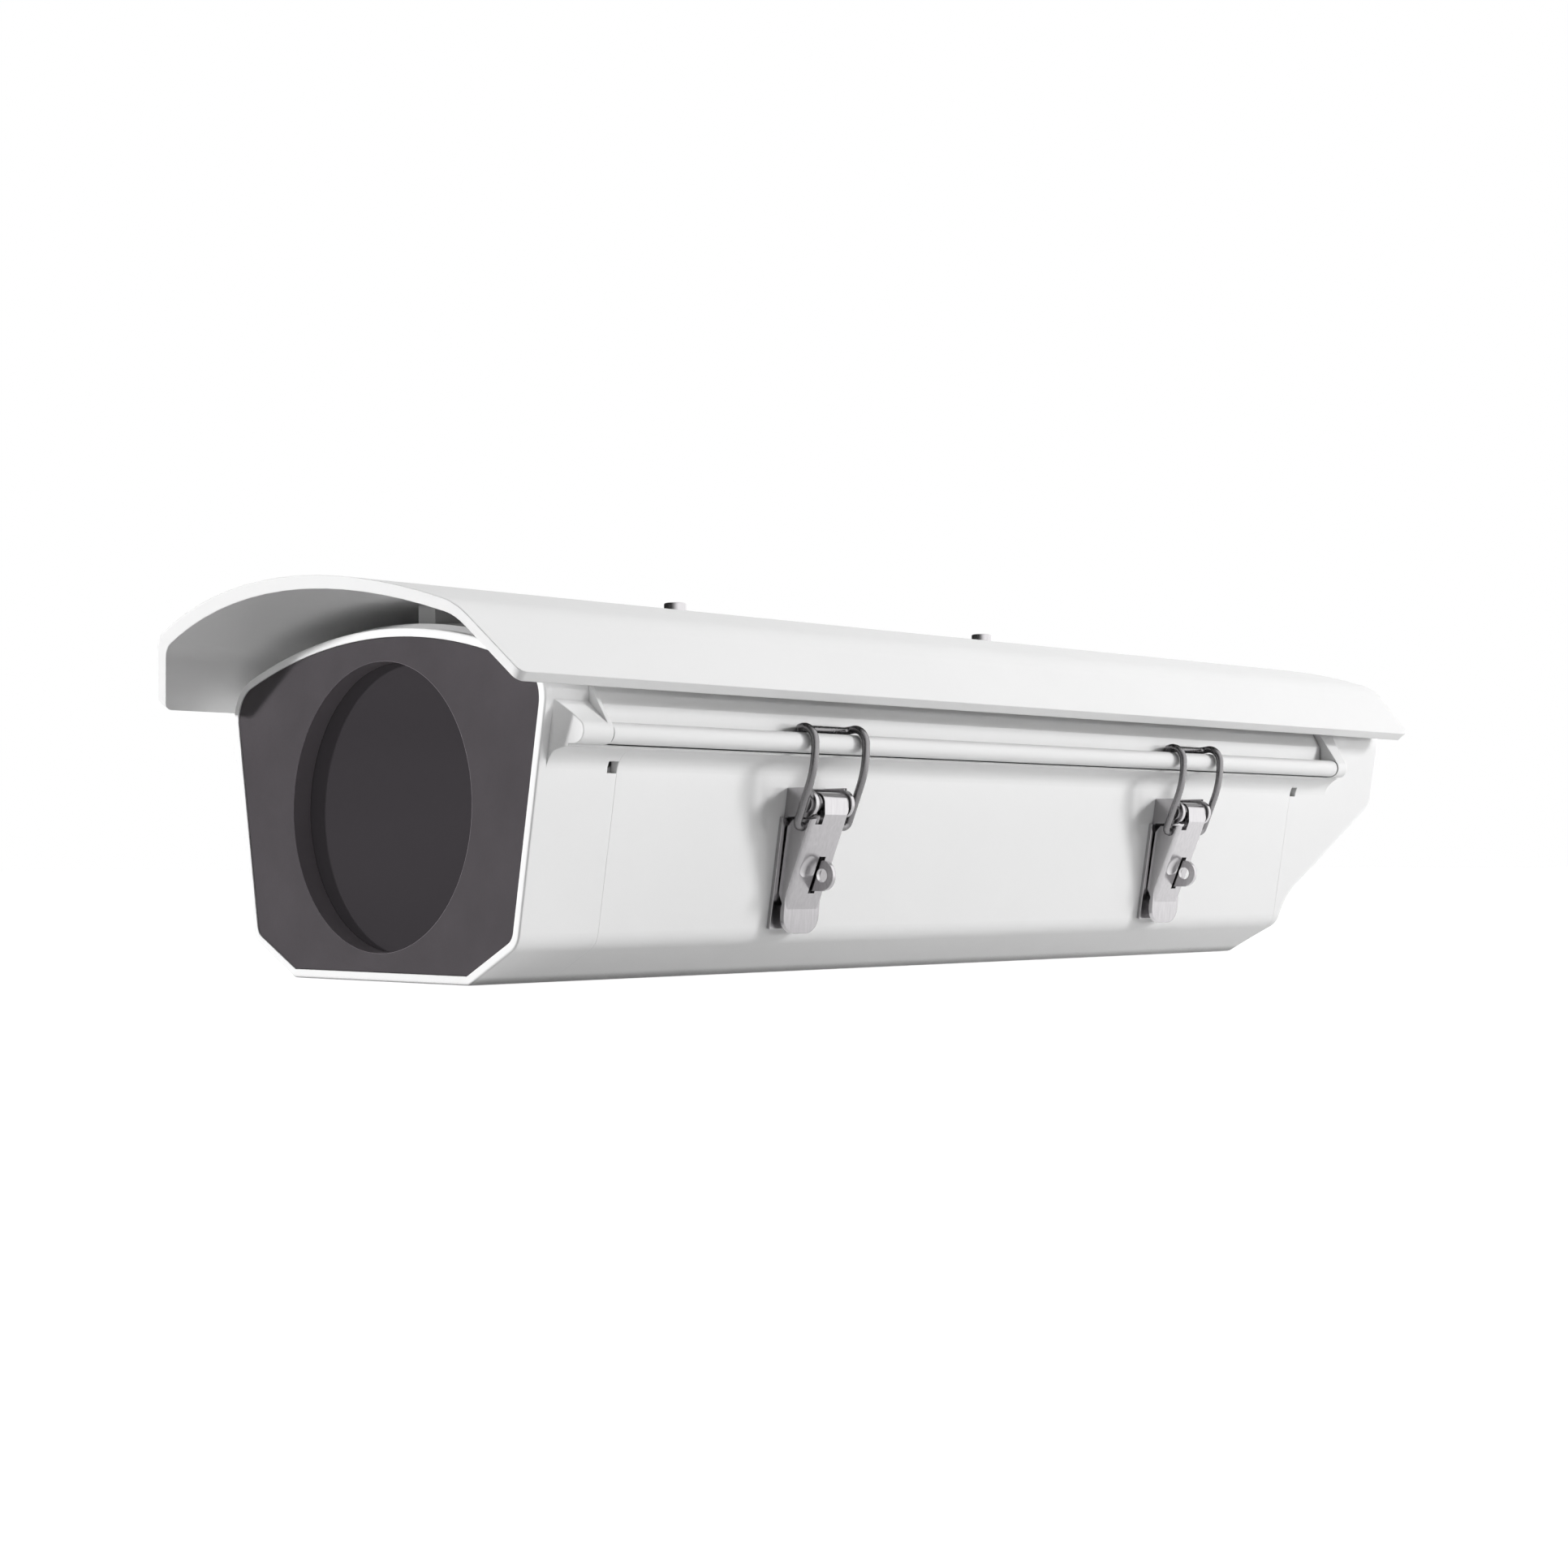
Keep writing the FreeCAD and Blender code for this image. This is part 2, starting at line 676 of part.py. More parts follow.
def socket_screw(length):
    """M4 socket head cap screw along -Z with its head's seat at z=0."""
    head = Part.makeCylinder(m4_head_radius, m4_head_height)
    rim = [e for e in head.Edges if e.BoundBox.ZMin > m4_head_height - 0.01]
    head = head.makeFillet(0.5, rim)
    screw = head.fuse(Part.makeCylinder(m4_radius, length, V(0, 0, -length)))
    socket_z = m4_head_height - m4_socket_depth
    return screw.cut(hexagon(2 * m4_socket_radius, m4_socket_depth + 1, socket_z))


def hexagon(flats, height, z0=0.0):
    """Upright hexagonal prism."""
    corner = flats / 2 / math.cos(math.pi / 6)
    angles = [k * math.pi / 3 for k in range(6)]
    points = [V(corner * math.cos(a), corner * math.sin(a), z0) for a in angles]
    return flat(points).extrude(V(0, 0, height))


def aimed(shape, place, direction):
    """Copy of a shape that pointed along +Z, turned to a direction and moved to a place."""
    turned = shape.copy()
    turned.Placement = FreeCAD.Placement(place, FreeCAD.Rotation(V(0, 0, 1), direction))
    return turned


def group(solids):
    """Identical separate pieces kept as one set."""
    return Part.makeCompound(solids)


def make_retainer_screws():
    """Four M3 screws that hold the glass retainer."""
    screw = pan_screw(m3_radius, m3_head_radius, m3_head_height, m3_length)
    seat = glass_rear_y + retainer_thickness
    return group([aimed(screw, V(x, seat, z), V(0, 1, 0)) for x, z in retainer_spots()])


def make_panel_screws():
    """Four M3 screws that pull the front panel against the web from behind."""
    screw = pan_screw(m3_radius, post_radius + 1.2, m3_head_height, panel_screw_length)
    return group([aimed(screw, V(x, web_rear_y, z), V(0, 1, 0)) for x, z in panel_spots()])


def make_cap_screws(seat_y, direction):
    """Four M4 screws through a cap's lugs into the screw channels."""
    screw = pan_screw(m4_radius, m4_head_radius, m4_pan_height, cap_screw_length)
    return group([aimed(screw, V(x, seat_y, z), V(0, direction, 0)) for x, z in channel_spots()])


def rear_profile(inset):
    """Side outline of the rear cap in the (y, z) plane, shrunk by an inset, as a block across X."""
    rise = math.tan(slope_angle)
    top_z = slope_foot_z + (rear_face_y - lower_rear_y) * rise
    y0 = rear_joint_y - far
    points = [(y0, -1), (lower_rear_y, -1), (lower_rear_y, slope_foot_z), (rear_face_y, top_z)]
    points += [(rear_face_y, above_all), (y0, above_all)]
    face = flat([V(0, y, z) for y, z in points])
    solid = face.extrude(V(1, 0, 0))
    across = V(1, 0, 0)
    foot = edges_along(solid, across, lambda p: abs(p.z - slope_foot_z) < 0.1 and p.y < rear_face_y)
    solid = solid.makeFillet(slope_foot_radius, foot)
    top = edges_along(solid, across, lambda p: abs(p.z - top_z) < 0.1 and p.y > lower_rear_y + 10)
    solid = solid.makeFillet(slope_top_radius, top)
    face = min(solid.Faces, key=lambda f: f.CenterOfMass.x)
    if inset:
        face = face.makeOffset2D(-inset)
    face.translate(V(-far - face.BoundBox.XMin, 0, 0))
    return face.extrude(V(2 * far, 0, 0))


def slope_point(x):
    """Centre of a gland hole on the outer side of the sloping face."""
    y = lower_rear_y + gland_along * math.cos(slope_angle)
    z = slope_foot_z + gland_along * math.sin(slope_angle)
    return V(x, y, z)


def slope_normal():
    """Outward direction of the sloping face."""
    return V(0, math.sin(slope_angle), -math.cos(slope_angle))


def make_rear_cap():
    """Cast rear shell with its upright rear face, sloping gland face, bosses and collar."""
    hull = hull_prism(rear_seat_y, rear_face_y, shoulder_rise)
    hull = hull.fuse(trough(rear_joint_y, rear_seat_y))
    solid = hull.common(rear_profile(0))
    rear = [e for e in solid.Edges if e.BoundBox.YMin > rear_face_y - 1e-6]
    solid = solid.makeFillet(rear_edge_radius, [e for e in rear if e.BoundBox.ZMax > ledge_z])
    solid = solid.fuse([rear_bosses(), flare(rear_joint_y, rear_seat_y)])
    solid = solid.fuse(collar(rear_joint_y, rear_seat_y))
    hollow = cap_hollow(rear_joint_y - 1, rear_seat_y)
    back = inset_prism(hull_face(), cap_wall, rear_seat_y - 1, rear_face_y - cap_wall)
    back = back.fuse(inset_prism(hull_face(), wall, rear_joint_y - 1, rear_seat_y).common(
        box(-far, far, rear_joint_y - 1, rear_seat_y, 0, ledge_z - shelf_height)))
    solid = solid.cut(hollow.fuse(back).common(rear_profile(cap_wall)))
    for x, z in channel_spots():
        lug = rod_y(lug_radius, rear_joint_y, lower_rear_y, x, z)
        solid = solid.fuse(lug.common(inset_prism(hull_face(), wall / 2, rear_joint_y, rear_seat_y)))
    for x, z in channel_spots():
        solid = solid.cut(rod_y(m4_radius + clearance_hole, rear_joint_y - 1, lower_rear_y + 1, x, z))
        face = rod_y(m4_head_radius + spot_face, lower_rear_y, lower_rear_y + spot_face_length, x, z)
        solid = solid.cut(face)
    for x in gland_x:
        hole = Part.makeCylinder(gland_radius + gland_hole_clearance, 3 * cap_wall)
        solid = solid.cut(aimed(hole, slope_point(x) - slope_normal() * (2 * cap_wall), slope_normal()))
    solid = solid.cut(ledge_grooves(rear_joint_y - 1, rear_seat_y - gasket_inset))
    solid = solid.cut(wall_notches(rear_joint_y - 1, rear_joint_y + notch_length))
    solid = solid.cut(rod_y(hinge_pin_radius + pin_seat_clearance, rear_seat_y - 1,
                            rear_seat_y + pin_in_boss, -bead_x, bead_z))
    return solid.removeSplitter()


def make_lid():
    """Extruded lid: arched sheet, bead along each edge, crown rib with two tapped holes."""
    face = lid_outline()
    solid = inset_prism(face, 0, lid_front_y, lid_rear_y)
    solid = solid.cut(inset_prism(face, lid_wall, lid_front_y - 1, lid_rear_y + 1))
    inner = lid_half - lid_wall
    solid = solid.cut(box(-inner, inner, lid_front_y - 1, lid_rear_y + 1,
                          lid_bottom_z - 1, lid_bottom_z + 2 * lid_wall))
    bead = rod_y(bead_radius, lid_front_y, lid_rear_y, bead_x, bead_z)
    bridge = box(lid_half - 1, bead_x, lid_front_y, lid_rear_y, lid_bottom_z, bead_z)
    foot = box(inner - foot_reach, inner + 1, front_joint_y + foot_height, rear_joint_y - foot_height,
               lid_bottom_z, lid_bottom_z + foot_height)
    solid = solid.fuse(both_sides(bead.fuse([bridge, foot])))
    rib_top = shield_crown_z - shield_wall - shield_gap
    rib = box(-rib_width / 2, rib_width / 2, lid_front_y, lid_rear_y, lid_crown_z - lid_wall, rib_top)
    solid = solid.fuse(rib)
    bore = hinge_pin_radius + running_clearance
    solid = solid.cut(rod_y(bore, lid_front_y - 1, lid_rear_y + 1, -bead_x, bead_z))
    for y in shield_screw_y:
        solid = solid.cut(rod_z(m4_radius + thread_clearance, rib_top - rib_hole_depth, rib_top + 1, 0, y))
    return solid.removeSplitter()


def make_lid_gasket():
    """Rubber seal: a strip in each ledge groove and a band over each cap collar."""
    y0 = front_seat_y + gasket_inset
    y1 = rear_seat_y - gasket_inset
    strip = box(groove_x + gasket_slack, groove_x + groove_width - gasket_slack, y0, y1,
                ledge_z - groove_depth, lid_bottom_z - gasket_air)
    solid = both_sides(strip)
    face = lid_outline()
    for start in (y0, y1 - gasket_width):
        end = start + gasket_width
        band = inset_prism(face, collar_inset - gasket_band, start, end)
        reach = lid_half - collar_inset + gasket_band
        band = band.fuse(box(-reach, reach, start, end, ledge_z, lid_bend_z - 1))
        band = band.cut(collar(start - 1, end + 1))
        band = band.cut(box(-far, far, start - 1, end + 1, 0, ledge_z))
        solid = solid.fuse(band)
    return solid.removeSplitter()


def shield_section(drop, y0, y1):
    """Prism under one surface of the sunshield; drop moves it in by the sheet's thickness."""
    dx = math.cos(shield_slope)
    dz = math.sin(shield_slope)
    edge = (shield_edge_x - drop * dz, shield_edge_z - drop * dx)
    reach = (above_all - shield_edge_z) / dz
    low = (edge[0] + 5 * dx, edge[1] - 5 * dz)
    half = [low, (edge[0] - reach * dx, edge[1] + reach * dz)]
    solid = arched(half, shield_crown_z - drop, shield_crown_radius - drop, y0, y1)
    corners = edges_along(solid, V(0, 1, 0), lambda p: p.z > shield_edge_z + 5)
    return solid.makeFillet(shield_corner_radius - drop, corners)


def make_sunshield():
    """Arched aluminium sheet over the housing, cut on a slant at the front."""
    y0 = shield_front_y - far
    outer = shield_section(0, y0, shield_rear_y)
    inner = shield_section(shield_wall, y0 - 1, shield_rear_y + 1)
    solid = outer.cut(inner)
    dx = math.cos(shield_slope)
    dz = math.sin(shield_slope)
    trim = 3 * shield_wall
    below = []
    for out, down in ((trim, 0), (-3 * trim, 0), (-3 * trim, 3 * trim), (trim, 3 * trim)):
        below.append((shield_edge_x + out * dz + down * dx, shield_edge_z + out * dx - down * dz))
    solid = solid.cut(both_sides(profile(below, y0 - 1, shield_rear_y + 1)))
    lift = above_all - shield_edge_z
    drop = shield_edge_z - ledge_z
    nose = [(shield_front_y + shield_front_slant * drop, shield_edge_z - drop)]
    nose.append((shield_front_y - shield_front_slant * lift, above_all))
    nose += [(y0 - 2, above_all), (y0 - 2, shield_edge_z - drop)]
    cutter = flat([V(-far, y, z) for y, z in nose]).extrude(V(2 * far, 0, 0))
    solid = solid.cut(cutter)
    tips = []
    for e in solid.Edges:
        middle = e.CenterOfMass
        if abs(middle.x) > shield_edge_x - 5 and middle.z < shield_edge_z + 2 and e.Length < shield_wall + 1:
            tips.append(e)
    solid = solid.makeFillet(shield_tip_radius, tips)
    for y in shield_screw_y:
        low = shield_crown_z - 2 * shield_wall
        solid = solid.cut(rod_z(m4_radius + clearance_hole, low, shield_crown_z + 1, 0, y))
    return solid


def make_shield_screws():
    """Two socket head screws that hold the sunshield to the lid rib."""
    screw = socket_screw(shield_screw_length)
    return group([aimed(screw, V(0, y, shield_crown_z), V(0, 0, 1)) for y in shield_screw_y])


def make_hinge_pin(boss_y, direction):
    """Pin fixed in a cap boss, on which one end of the lid bead turns."""
    ends = sorted((boss_y - direction * pin_in_boss, boss_y + direction * pin_in_lid))
    solid = rod_y(hinge_pin_radius, ends[0], ends[1], -bead_x, bead_z)
    rings = [e for e in solid.Edges if e.BoundBox.YLength < 1e-6]
    return solid.makeChamfer(0.3, rings)


def wall_point(z, lift, y):
    """Point at a height on the +X side wall, lifted off it along its normal."""
    return V(side_x(z) + lift * math.cos(side_lean), y, z - lift * math.sin(side_lean))


def wall_normal():
    """Outward direction of the +X side wall."""
    return V(math.cos(side_lean), 0, -math.sin(side_lean))


def rivet_hole(centre, z):
    """Hole through the side wall and the latch base for one rivet."""
    start = wall_point(z, -2 * wall, centre)
    return Part.makeCylinder(rivet_radius + thread_clearance, 4 * wall, start, wall_normal())


def make_latch_rivets():
    """Rivets that fix both latch bases to the side wall."""
    rivets = []
    for centre in latch_y:
        for z in rivet_z:
            shank = Part.makeCylinder(rivet_radius, wall + latch_sheet)
            inner = Part.makeCylinder(rivet_head_radius, rivet_head, V(0, 0, -rivet_head))
            outer = Part.makeCylinder(rivet_head_radius, rivet_head, V(0, 0, wall + latch_sheet))
            rim = [e for e in outer.Edges if e.BoundBox.ZMin > wall + latch_sheet + rivet_head - 0.01]
            outer = outer.makeFillet(rivet_head * 0.8, rim[:1])
            rivets.append(aimed(shank.fuse([inner, outer]), wall_point(z, -wall, centre), wall_normal()))
    return group(rivets)


def ear(y0, y1):
    """Upright ear that carries the lever pin, standing out from the latch base."""
    outline = [(side_x(ear_bottom_z) + 0.3, ear_bottom_z), (pivot_x, ear_bottom_z)]
    outline += [(pivot_x + 1, base_top_z), (side_x(base_top_z) + 0.3, base_top_z)]
    solid = profile(outline, y0, y1)
    nose = rod_y(ear_nose_radius, y0, y1, pivot_x, pivot_z)
    return solid.fuse(nose)


def base_plate(z0, z1, y0, y1):
    """Piece of latch sheet that lies on the side wall."""
    outline = []
    for z, lift in ((z0, 0), (z0, latch_sheet), (z1, latch_sheet), (z1, 0)):
        p = wall_point(z, lift, 0)
        outline.append((p.x, p.z))
    return profile(outline, y0, y1)


def make_latch_base(centre):
    """Folded latch base: plate on the wall, two pin ears and the padlock staple."""
    y0 = centre - base_half
    y1 = centre + base_half
    solid = base_plate(base_bottom_z, ear_bottom_z, y0, y1)
    far_side = centre + far_ear + latch_sheet
    solid = solid.fuse(base_plate(ear_bottom_z - 1, base_top_z, centre + near_ear, far_side))
    for start in (near_ear, far_ear):
        solid = solid.fuse(ear(centre + start, centre + start + latch_sheet))
    y2 = centre + staple_y
    low = wall_point(staple_z - staple_radius, latch_sheet / 2, 0)
    high = wall_point(staple_z + staple_radius, latch_sheet / 2, 0)
    outline = [(low.x, low.z), (high.x, high.z), (staple_x, high.z), (staple_x, low.z)]
    tab = profile(outline, y2, y2 + latch_sheet)
    tab = tab.fuse(rod_y(staple_radius, y2, y2 + latch_sheet, staple_x, staple_z))
    tab = tab.cut(rod_y(staple_hole_radius, y2 - 1, y2 + latch_sheet + 1, staple_x, staple_z))
    solid = solid.fuse(tab)
    solid = solid.cut(rod_y(latch_pin_radius + pin_seat_clearance, y0 - 1, y1 + 1, pivot_x, pivot_z))
    for z in rivet_z:
        solid = solid.cut(rivet_hole(centre, z))
    return solid.removeSplitter()


def offset_line(points, distance):
    """Points of a bent line moved to its left by a distance, with sharp corners."""
    moved = []
    for i, (x, z) in enumerate(points):
        ahead = points[min(i + 1, len(points) - 1)]
        behind = points[max(i - 1, 0)]
        a = math.atan2(z - behind[1], x - behind[0]) if i else None
        b = math.atan2(ahead[1] - z, ahead[0] - x) if i < len(points) - 1 else None
        a = b if a is None else a
        b = a if b is None else b
        middle = (a + b) / 2
        reach = distance / math.cos((b - a) / 2)
        moved.append((x - reach * math.sin(middle), z + reach * math.cos(middle)))
    return moved


def lever_face():
    """Outer line of the lever sheet from the tongue's tip up to the knuckle, as (x, z) points."""
    knuckle_x = pivot_x + latch_pin_radius + running_clearance + lever_sheet
    fall = crease_z - tongue_crease_z
    crease = (knuckle_x - fall * math.tan(lever_lean), tongue_crease_z)
    tip = (crease[0] - (tongue_crease_z - tongue_tip_z) * math.tan(tongue_lean), tongue_tip_z)
    return [tip, crease, (knuckle_x, crease_z), (knuckle_x, pivot_z)]


def make_latch_lever(centre):
    """Pressed lever: sloping face with slot and dimple, bent tongue, side flanges and rolled knuckle."""
    line = lever_face()
    inner = offset_line(line, lever_sheet)
    sheet = profile(line + list(reversed(inner)), centre - lever_half, centre + lever_half)
    side = centre + knuckle_near
    notch_z = flange_top_z - knuckle_notch_drop
    sheet = sheet.cut(box(0, far, centre - lever_half - 1, side, notch_z, above_all))
    through = V(-math.cos(tongue_lean), 0, math.sin(tongue_lean))
    tips = edges_along(sheet, through, lambda p: p.z < tongue_tip_z + 1)
    sheet = sheet.makeFillet(tongue_radius, tips)
    knuckle = latch_pin_radius + running_clearance + lever_sheet
    ring = rod_y(knuckle, side, centre + lever_half, pivot_x, pivot_z)
    ring = ring.cut(box(pivot_x + sliver, far, centre - base_half, centre + base_half, 0, pivot_z))
    solid = sheet.fuse(ring)
    slant = math.tan(lever_lean)
    face_x = line[2][0] - (crease_z - flange_top_z) * slant
    low_x = line[1][0]
    gap = latch_sheet + flange_gap
    foot = wall_point(tongue_crease_z + flange_foot, gap, 0)
    shoulder = wall_point(flange_top_z, gap, 0)
    outline = [(face_x, flange_top_z), (low_x, tongue_crease_z), (low_x - 0.6, tongue_crease_z + 0.8)]
    outline += [(foot.x, foot.z), (shoulder.x, flange_top_z - 2), (shoulder.x + 2, flange_top_z)]
    for start in (-lever_half, lever_half - lever_sheet):
        solid = solid.fuse(profile(outline, centre + start, centre + start + lever_sheet))
    solid = solid.removeSplitter()
    along = V(math.sin(lever_lean), 0, math.cos(lever_lean))
    rise = (crease_z + tongue_crease_z) / 2
    middle_x = line[2][0] - (crease_z - rise) * slant
    folds = edges_along(solid, along, lambda p: abs(abs(p.y - centre) - lever_half) < 0.01
                        and abs(p.x - middle_x) < 2 and abs(p.z - rise) < 4)
    solid = solid.makeFillet(fold_radius, folds)
    bore = latch_pin_radius + running_clearance
    solid = solid.cut(rod_y(bore, centre - base_half, centre + base_half, pivot_x, pivot_z))
    hole = wire_radius + bail_hole_clearance
    stub_x = pivot_x + bail_pivot[0]
    stub_z = pivot_z + bail_pivot[1]
    solid = solid.cut(rod_y(hole, centre - base_half, centre + base_half, stub_x, stub_z))
    slot_near = centre + staple_y - slot_side
    slot_far = centre + staple_y + latch_sheet + slot_side
    solid = solid.cut(box(side_x(0), far, slot_near, slot_far, slot_bottom_z, slot_top_z))
    dimple_x = line[2][0] - (crease_z - dimple_z) * slant
    away = dimple_radius - dimple_depth
    ball_x = dimple_x + away * math.cos(lever_lean)
    ball_z = dimple_z - away * math.sin(lever_lean)
    solid = solid.cut(Part.makeSphere(dimple_radius, V(ball_x, centre + dimple_y, ball_z)))
    return solid.removeSplitter()


def make_latch_pin(centre):
    """Riveted pin through the ears and the lever knuckle."""
    y0 = centre + near_ear
    y1 = centre + far_ear + latch_sheet
    solid = rod_y(latch_pin_radius, y0, y1, pivot_x, pivot_z)
    head = latch_pin_radius + pin_head_reach
    near_head = rod_y(head, y0 - pin_head_near, y0, pivot_x, pivot_z)
    far_head = rod_y(head, y1, y1 + pin_head_far, pivot_x, pivot_z)
    return solid.fuse([near_head, far_head])


def make_latch_spring(centre):
    """Two turns of torsion spring on the lever pin, between the near ear and the knuckle."""
    points = []
    steps = 24
    for k in range(steps + 1):
        angle = 2 * math.pi * spring_turns * k / steps
        rise = spring_pitch * spring_turns * k / steps
        points.append(V(spring_radius * math.cos(angle), spring_radius * math.sin(angle), rise))
    curve = Part.BSplineCurve()
    curve.interpolate(points)
    line = Part.Wire(curve.toShape())
    start_edge = line.Edges[0]
    tangent = start_edge.tangentAt(start_edge.FirstParameter)
    ring = Part.makeCircle(spring_wire_radius, points[0], tangent)
    coil = line.makePipeShell([Part.Wire(ring)], True, False)
    room = knuckle_near - near_ear - latch_sheet
    start = centre + near_ear + latch_sheet + (room - spring_pitch * spring_turns) / 2
    return aimed(coil, V(pivot_x, start, pivot_z), V(0, 1, 0))


def bent_wire(points, radii):
    """Path through points with a tangent arc of the given radius at each inner point."""
    edges = []
    here = points[0]
    for i in range(1, len(points) - 1):
        before = (points[i] - points[i - 1]).normalize()
        after = (points[i + 1] - points[i]).normalize()
        turn = before.getAngle(after)
        back = radii[i - 1] * math.tan(turn / 2)
        start = points[i] - before * back
        end = points[i] + after * back
        inward = (after - before).normalize()
        centre = points[i] + inward * (radii[i - 1] / math.cos(turn / 2))
        middle = centre - inward * radii[i - 1]
        if (start - here).Length > 0.01:
            edges.append(Part.makeLine(here, start))
        edges.append(Part.Arc(start, middle, end).toShape())
        here = end
    edges.append(Part.makeLine(here, points[-1]))
    return Part.Wire(edges)


def make_latch_bail(centre):
    """Wire bail: stubs in the lever flanges, two legs, hooks over the lid bead and a cross wire."""
    px = pivot_x + bail_pivot[0]
    pz = pivot_z + bail_pivot[1]
    leg_x = bead_x + hook_radius
    knee = (leg_x, pz + (leg_x - px) / math.tan(bail_lean))
    top = (leg_x, bead_z + hook_radius * math.tan(hook_turn / 2))
    end_x = bead_x + hook_radius * math.cos(hook_turn) - bail_corner_radius * math.sin(hook_turn)
    end_z = bead_z + hook_radius * math.sin(hook_turn) + bail_corner_radius * math.cos(hook_turn)
    line = [(px, pz), knee, top, (end_x, end_z)]
    near = centre + bail_near
    far = centre + bail_far
    inner_near = centre - lever_half + bail_stub_depth
    inner_far = centre + lever_half - bail_stub_depth
    points = [V(px, inner_near, pz)] + [V(x, near, z) for x, z in line]
    points += [V(x, far, z) for x, z in reversed(line)] + [V(px, inner_far, pz)]
    radii = [stub_bend_radius, bail_leg_radius, hook_radius, bail_corner_radius]
    path = bent_wire(points, radii + list(reversed(radii)))
    ring = Part.Wire(Part.makeCircle(wire_radius, points[0], V(0, 1, 0)))
    return path.makePipeShell([ring], True, False)


def make_mount_inserts():
    """Four pressed-in threaded inserts for the bracket bolts."""
    inserts = []
    for x, y in bracket_spots():
        insert = rod_z(insert_pilot_radius, 0, wall, x, y)
        insert = insert.fuse(rod_z(insert_flange_radius, wall, wall + insert_flange_height, x, y))
        inserts.append(insert.cut(rod_z(insert_bore_radius, -1, wall + insert_flange_height + 1, x, y)))
    return group(inserts)


def make_camera_sled():
    """Flat sled plate with upturned sides and a long slot for the camera screw."""
    solid = box(-sled_half, sled_half, sled_front_y, sled_rear_y, sled_z, sled_z + sled_thickness)
    top = sled_z + sled_lip
    side = box(sled_half - sled_thickness, sled_half, sled_front_y, sled_rear_y, sled_z, top)
    solid = solid.fuse(both_sides(side))
    slot = box(-sled_slot_half, sled_slot_half, sled_slot_front_y, sled_slot_rear_y, sled_z - 1, top)
    for y in (sled_slot_front_y, sled_slot_rear_y):
        slot = slot.fuse(rod_z(sled_slot_half, sled_z - 1, top, 0, y))
    solid = solid.cut(slot)
    for x, y in sled_spots() + board_spots():
        solid = solid.cut(rod_z(m4_radius + clearance_hole, sled_z - 1, top, x, y))
    return solid.removeSplitter()


def make_sled_spacers():
    """Four round spacers that carry the sled above the bottom."""
    spacers = []
    for x, y in sled_spots():
        spacer = rod_z(spacer_radius, wall, sled_z, x, y)
        spacers.append(spacer.cut(rod_z(m4_radius + clearance_hole, 0, sled_z + 1, x, y)))
    return group(spacers)


def make_sled_screws():
    """Four M4 screws through sled and spacers into the bottom."""
    seat = sled_z + sled_thickness
    screw = pan_screw(m4_radius, m4_head_radius, m4_pan_height, seat - screw_end_gap)
    return group([aimed(screw, V(x, y, seat), V(0, 0, 1)) for x, y in sled_spots()])


def make_camera_screw():
    """Large-headed screw under the sled that clamps the camera through the slot."""
    head = rod_z(camera_screw_head_radius, sled_z - camera_screw_head, sled_z, 0, camera_screw_y)
    for k in range(camera_screw_grooves):
        angle = k * 2 * math.pi / camera_screw_grooves
        x = camera_screw_head_radius * math.cos(angle)
        y = camera_screw_y + camera_screw_head_radius * math.sin(angle)
        low = sled_z - camera_screw_head - 1
        head = head.cut(rod_z(camera_screw_groove_radius, low, sled_z + 1, x, y))
    shank = rod_z(camera_screw_radius, sled_z, sled_z + camera_screw_length, 0, camera_screw_y)
    return head.fuse(shank)


def board_spots():
    """Centres of the terminal board's four screws, as (x, y)."""
    x = board_half_x - board_hole_inset
    ends = (board_front_y + board_hole_inset, board_rear_y - board_hole_inset)
    return [(sx * x, y) for sx in (-1, 1) for y in ends]


def board_z():
    """Height of the terminal board's underside."""
    return sled_z + sled_thickness + board_lift


def make_terminal_board():
    """Printed board that carries the terminal block."""
    z = board_z()
    solid = box(-board_half_x, board_half_x, board_front_y, board_rear_y, z, z + board_thickness)
    for x, y in board_spots():
        solid = solid.cut(rod_z(m3_radius + clearance_hole, z - 1, z + board_thickness + 1, x, y))
    return solid


def make_board_spacers():
    """Four spacers between sled and terminal board."""
    spacers = []
    for x, y in board_spots():
        spacer = rod_z(board_spacer_radius, sled_z + sled_thickness, board_z(), x, y)
        spacers.append(spacer.cut(rod_z(m3_radius + thread_clearance, 0, board_z() + 1, x, y)))
    return group(spacers)


def make_board_screws():
    """Four M3 screws that hold the terminal board."""
    seat = board_z() + board_thickness
    length = board_lift + board_thickness - screw_end_gap
    screw = pan_screw(m3_radius, m3_head_radius, m3_head_height, length)
    return group([aimed(screw, V(x, y, seat), V(0, 0, 1)) for x, y in board_spots()])


def make_terminal_block():
    """Screw terminal block with a row of clamp pockets and wire mouths."""
    z = board_z() + board_thickness
    y0 = board_rear_y - block_inset - block_width / 2
    solid = box(-block_length / 2, block_length / 2, y0, y0 + block_width, z, z + block_height)
    pitch = block_length / block_ways
    for k in range(block_ways):
        x = -block_length / 2 + (k + 0.5) * pitch
        half = pitch * block_pocket_share
        top = z + block_height
        solid = solid.cut(rod_z(half, top - block_pocket_depth, top + 1, x, y0 + block_width * 0.4))
        mouth_y = y0 + block_width - block_pocket_depth
        solid = solid.cut(box(x - half, x + half, mouth_y, y0 + block_width + 1,
                              z + block_mouth[0], z + block_mouth[1]))
    return solid


def gland_place(x, out):
    """Point on a gland's axis, a distance outward from the sloping face."""
    return slope_point(x) + slope_normal() * out


